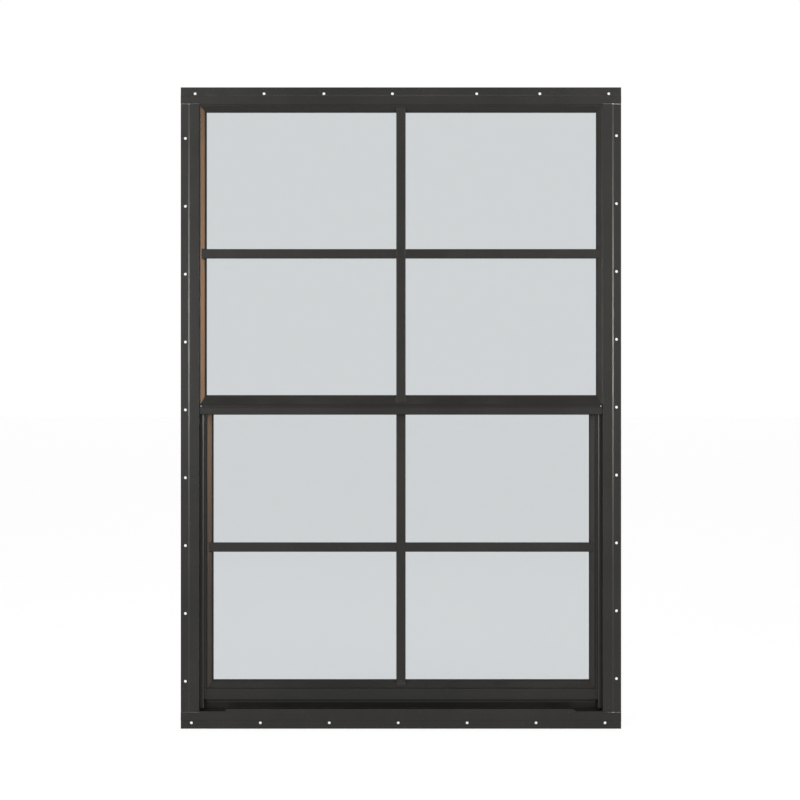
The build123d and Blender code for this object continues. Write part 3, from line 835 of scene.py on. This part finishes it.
folds = [
    edge
    for edge in cap.edges
    if all(abs(point.co.y - outer_face) < CAP_FIT for point in edge.verts)
    and abs(edge.verts[0].co.z - edge.verts[1].co.z) > CAP_FIT
]
round_edges(cap, folds, CAP_ROUND, steps=4)
cut = bmesh.ops.bisect_plane(
    cap,
    geom=[*cap.verts, *cap.edges, *cap.faces],
    plane_co=(foot_x, foot_low.y, foot_low.z + CAP_FIT),
    plane_no=(0, FOOT_SLOPE, -SLOPE_RISE),
    clear_outer=True,
)
bmesh.ops.holes_fill(cap, edges=pick(cut["geom_cut"], BMEdge))
new_piece("grille_foot_cap", cap, bar_level)

# %% [markdown]
# Just below its upper edge the cap has a small rolled bead, which catches the light as a thin line
# across the foot, and its lighter enamel adds a painted highlight to that line. It is a bar of the cap's
# width with all its edges bevelled round.

# %% Rolled bead of the cap
ROLL_HEIGHT = 0.9 * MM
ROLL_DEPTH = 0.8 * MM
ROLL_ROUND = 0.45 * ROLL_DEPTH
ROLL_FORWARD = 0.2 * ROLL_DEPTH  # of its middle, in front of the cap's face
ROLL_RISE = 3.7 * MM  # above the tip of the bar's face
roll = bmesh.new()
bmesh.ops.create_cube(roll, size=1.0)
bmesh.ops.scale(roll, verts=roll.verts, vec=(2 * outer_half, ROLL_DEPTH, ROLL_HEIGHT))
round_edges(roll, roll.edges[:], ROLL_ROUND, steps=4)
roll_place = (foot_x, outer_face - ROLL_FORWARD, foot_low.z + ROLL_RISE)
bmesh.ops.translate(roll, verts=roll.verts, vec=roll_place)
# The roll's lighter enamel is a painted highlight.
new_piece("grille_foot_roll", roll, painted_highlight_enamel)

# %% [markdown]
# The pin is turned, as the rivets are, but its head is low and nearly flat on top. Its lighter enamel is
# a painted highlight.

# %% Foot pin
PIN_RADIUS = 1.0 * MM
PIN_DOME = 0.6 * MM
PIN_RISE = 7.4 * MM  # above the tip of the bar's face
pin = bmesh.new()
turn(
    pin,
    (
        (0, 0),
        (PIN_RADIUS, 0),
        (0.85 * PIN_RADIUS, 0.6 * PIN_DOME),
        (0.45 * PIN_RADIUS, 0.95 * PIN_DOME),
        (0, PIN_DOME),
    ),
    RIVET_SIDES,
)
copy_to(pin, [facing((0, -1, 0), (foot_x, foot_low.y, foot_low.z + PIN_RISE))])
# The pin's lighter enamel is a painted highlight.
new_piece("grille_foot_pin", pin, painted_highlight_enamel)

# %% [markdown]
# ## Grips on the latch knobs
#
# A thumb pushes each knob sideways, so the mould puts upright ridges on it. One ridge is a small
# block with its four outer edges bevelled round. Five copies stand across each knob.

# %% Knob grips
GRIP_WIDTH = 1.3 * MM
GRIP_LENGTH = 6.2 * MM
GRIP_HEIGHT = 0.6 * MM
GRIP_ROUND = 0.9 * GRIP_HEIGHT
GRIP_PITCH = 3.6 * MM
GRIPS = 5  # on each knob
KNOB_PLACE = 265.0 * MM  # from the window's middle to the middle of a knob
grips = bmesh.new()
bmesh.ops.create_cube(grips, size=1.0)
bmesh.ops.scale(grips, verts=grips.verts, vec=(GRIP_WIDTH, GRIP_LENGTH, 2 * GRIP_HEIGHT))
outer_edges = [edge for edge in grips.edges if all(point.co.z > 0 for point in edge.verts)]
round_edges(grips, outer_edges, GRIP_ROUND, steps=4)
latch_low, latch_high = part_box("sash_latch_left")
knob_height = (latch_low.z + latch_high.z) / 2
copy_to(
    grips,
    [
        facing((0, 1, 0), (side * KNOB_PLACE + offset * GRIP_PITCH, latch_high.y, knob_height))
        for side in (-1, 1)
        for offset in range(-(GRIPS // 2), GRIPS // 2 + 1)
    ],
)
new_piece("latch_grips", grips, nylon)

# %% [markdown]
# ## The studio
#
# The window stands on a pale floor in front of nothing, so the page shows through the glass. The
# world is plain white to the camera, through the panes and in what the flat faces reflect. To the
# sides and overhead it is a grey room, which keeps the sloping beads dark, as in a real studio. The
# Light Path node tells these rays apart, so the page is white without more light on the window.

# %% World
world = bpy.data.worlds.new("studio")
bpy.context.scene.world = world
world.use_nodes = True
world.node_tree.nodes.clear()
PAGE_WHITE = 1.0
FILL_LIGHT = 0.85
WALL_GREY = 0.3  # the studio's side walls and ceiling, against the white ahead and behind
WALL_END, WHITE_START = 0.6, 0.9  # how far a direction points ahead or behind, from 0 to 1


def direct_rays(owner):
    """Two masks: rays from the camera or through glass, and the same with rays off a gloss."""
    rays = add_node(owner, "ShaderNodeLightPath").outputs
    seen = add_node(
        owner,
        "ShaderNodeMath",
        {0: rays["Is Camera Ray"], 1: rays["Is Transmission Ray"]},
        operation="MAXIMUM",
    ).outputs["Value"]
    seen_or_reflected = add_node(
        owner, "ShaderNodeMath", {0: seen, 1: rays["Is Glossy Ray"]}, operation="MAXIMUM"
    ).outputs["Value"]
    return seen, seen_or_reflected


seen, seen_or_reflected = direct_rays(world)
strength = add_node(
    world,
    "ShaderNodeMapRange",
    {"Value": seen_or_reflected, "To Min": FILL_LIGHT, "To Max": PAGE_WHITE},
)
direction = add_node(
    world,
    "ShaderNodeSeparateXYZ",
    {"Vector": add_node(world, "ShaderNodeTexCoord").outputs["Generated"]},
)
ahead = add_node(world, "ShaderNodeMath", {0: direction.outputs["Y"]}, operation="ABSOLUTE")
wall = add_node(
    world,
    "ShaderNodeMapRange",
    {
        "Value": ahead.outputs["Value"],
        "From Min": WALL_END,
        "From Max": WHITE_START,
        "To Min": WALL_GREY,
    },
)
room = add_node(
    world, "ShaderNodeMath", {0: wall.outputs["Result"], 1: seen}, operation="MAXIMUM"
)
lit = add_node(
    world,
    "ShaderNodeMath",
    {0: strength.outputs["Result"], 1: room.outputs["Value"]},
    operation="MULTIPLY",
)
background = add_node(
    world, "ShaderNodeBackground", {"Color": linear(WHITE), "Strength": lit.outputs["Value"]}
)
add_node(world, "ShaderNodeOutputWorld", {"Surface": background.outputs["Background"]})
print("world:", len(world.node_tree.nodes), "nodes")

# %% [markdown]
# ## The floor
#
# The floor is a matt, pale sheet that takes the window's shadow. On the page it has to be white, so
# rays from the camera, through glass or off a gloss find it brighter than its own colour. The rays
# that gather light for a matt surface don't, so the floor is no lamp.

# %% Floor
FLOOR_REACH = 40.0
FLOOR_DROP = 0.2 * MM  # below the window's foot, so that the two don't touch
FLOOR_CLOUDS = 3.0  # faint clouds in each metre of it
PAGE_LIFT = 0.78  # what is added for those rays, so that the open floor is white
floor_mesh = bmesh.new()
bmesh.ops.create_grid(floor_mesh, x_segments=1, y_segments=1, size=FLOOR_REACH)
bmesh.ops.translate(floor_mesh, verts=floor_mesh.verts, vec=(0, 0, window_foot - FLOOR_DROP))
floor_data = bpy.data.meshes.new("floor")
floor_mesh.to_mesh(floor_data)
floor_mesh.free()
floor = bpy.data.objects.new("floor", floor_data)
bpy.context.scene.collection.objects.link(floor)
floor_material, floor_output = new_material("pale_floor")
floor_place = add_node(floor_material, "ShaderNodeTexCoord").outputs["Object"]
floor_noise = add_node(
    floor_material, "ShaderNodeTexNoise", {"Vector": floor_place, "Scale": FLOOR_CLOUDS}
)
floor_tone = add_node(
    floor_material,
    "ShaderNodeMix",
    {
        "Factor": floor_noise.outputs["Fac"],
        COLOUR_A: linear("#b6b6b6"),
        COLOUR_B: linear("#bababa"),
    },
    data_type="RGBA",
)
floor_shader = add_node(
    floor_material,
    "ShaderNodeBsdfPrincipled",
    {"Base Color": floor_tone.outputs[MIXED], "Roughness": 0.9},
)
floor_glow = add_node(
    floor_material,
    "ShaderNodeMath",
    {0: direct_rays(floor_material)[1], 1: PAGE_LIFT},
    operation="MULTIPLY",
)
floor_emission = add_node(
    floor_material,
    "ShaderNodeEmission",
    {"Color": linear(WHITE), "Strength": floor_glow.outputs["Value"]},
)
floor_sum = add_node(
    floor_material,
    "ShaderNodeAddShader",
    {0: floor_shader.outputs["BSDF"], 1: floor_emission.outputs["Emission"]},
)
finish_material(floor_material, floor_output, floor_sum.outputs["Shader"])
floor_data.materials.append(floor_material)

# %% [markdown]
# ## The lamps
#
# Two soft boxes stand high at the front, so the light is a little stronger at the top, and a third
# lights the window from behind, but not the panes or the floor. Two cards at the sides, two dim ones
# ahead and a strip above are there for the gloss alone: they draw a line of light along each edge
# that turns towards them. They are kept off the panes, which would show each one as a patch. A warm
# card far round to the right gives the left-hand beads and the clips their tone, and lights nothing
# else. Places and sizes are in metres, and powers in watts.


# %% Soft boxes
def soft_box(name, place, aim, size, power, colour=WHITE):
    """A rectangular lamp that looks at a point. It isn't seen directly, nor through glass."""
    light = bpy.data.lights.new(name, "AREA")
    light.shape = "RECTANGLE"
    light.size, light.size_y = size
    light.energy = power
    light.color = linear(colour)[:3]
    lamp = bpy.data.objects.new(name, light)
    bpy.context.scene.collection.objects.link(lamp)
    lamp.location = place
    lamp.rotation_euler = (Vector(aim) - Vector(place)).to_track_quat("-Z", "Y").to_euler()
    lamp.visible_camera = False
    lamp.visible_transmission = False
    return lamp


def link_light(lamp, pieces, state):
    """Let a lamp light only these pieces (INCLUDE), or all but these (EXCLUDE)."""
    linked = bpy.data.collections.new(lamp.name + "_linked")
    lamp.light_linking.receiver_collection = linked
    for piece in pieces:
        linked.objects.link(piece)
    for entry in linked.collection_objects:
        entry.light_linking.link_state = state


panes = [nodes["upper_glass"], nodes["lower_glass"]]
warm_pieces = [nodes["upper_bead_left"], nodes["lower_bead_left"], grille_clips]
middle = (cad_low + cad_high) / 2
soft_box("left_box", (-1.3, -1.5, 1.25), middle, (1.0, 1.0), 10.5)
soft_box("right_box", (1.3, -1.5, 1.25), middle, (1.0, 1.0), 8.5)
back_box = soft_box("back_box", (0.5, 1.9, 1.3), middle, (1.2, 1.2), 16)
link_light(back_box, [*panes, floor], "EXCLUDE")
for name, place, size, power, colour in (
    ("left_strip", (-3.1, -2.1, 0.77), (0.4, 0.4), 46, WHITE),
    ("right_strip", (3.1, -2.1, 0.77), (0.4, 0.4), 56, "#fff6ea"),
    ("left_glow", (-1.0, -2.4, 0.62), (0.3, 0.6), 3.5, WHITE),
    ("right_glow", (1.0, -2.4, 0.62), (0.3, 0.6), 2.0, WHITE),
    ("top_strip", (0.0, -0.55, 2.6), (1.6, 0.25), 15, WHITE),
):
    card = soft_box(name, place, middle, size, power, colour)
    card.visible_diffuse = False
    link_light(card, panes, "EXCLUDE")
warm_card = soft_box("warm_card", (1.7, -0.25, 0.8), middle, (0.4, 1.1), 58, "#d2a074")
warm_card.visible_diffuse = False
link_light(warm_card, warm_pieces, "INCLUDE")

# %% [markdown]
# ## The camera
#
# The window is seen square on, from about two metres. The lens comes from the width that the picture
# covers at the window, and the camera stands a little to one side and above the window's middle,
# because the window isn't quite centred in the picture.

# %% Camera
PICTURE = 800  # pixels across and down
WINDOW_PIXELS = 440.6  # width of the window in the picture
WINDOW_CENTRE = (400.95, 408.05)  # its middle, in pixels from the top left
CAMERA_DISTANCE = 2.2
SENSOR_WIDTH = 36.0  # in mm
window_width = cad_high.x - cad_low.x
metres_per_pixel = window_width / WINDOW_PIXELS
camera_data = bpy.data.cameras.new("camera")
camera_data.sensor_width = SENSOR_WIDTH
camera_data.lens = SENSOR_WIDTH * CAMERA_DISTANCE / (PICTURE * metres_per_pixel)
camera = bpy.data.objects.new("camera", camera_data)
bpy.context.scene.collection.objects.link(camera)
camera.location = (
    middle.x - (WINDOW_CENTRE[0] - PICTURE / 2) * metres_per_pixel,
    cad_low.y - CAMERA_DISTANCE,
    middle.z + (WINDOW_CENTRE[1] - PICTURE / 2) * metres_per_pixel,
)
camera.rotation_euler = (math.radians(90), 0, 0)
bpy.context.scene.camera = camera
bpy.context.scene.view_settings.view_transform = "Standard"
print("lens", round(camera_data.lens, 1), "mm")
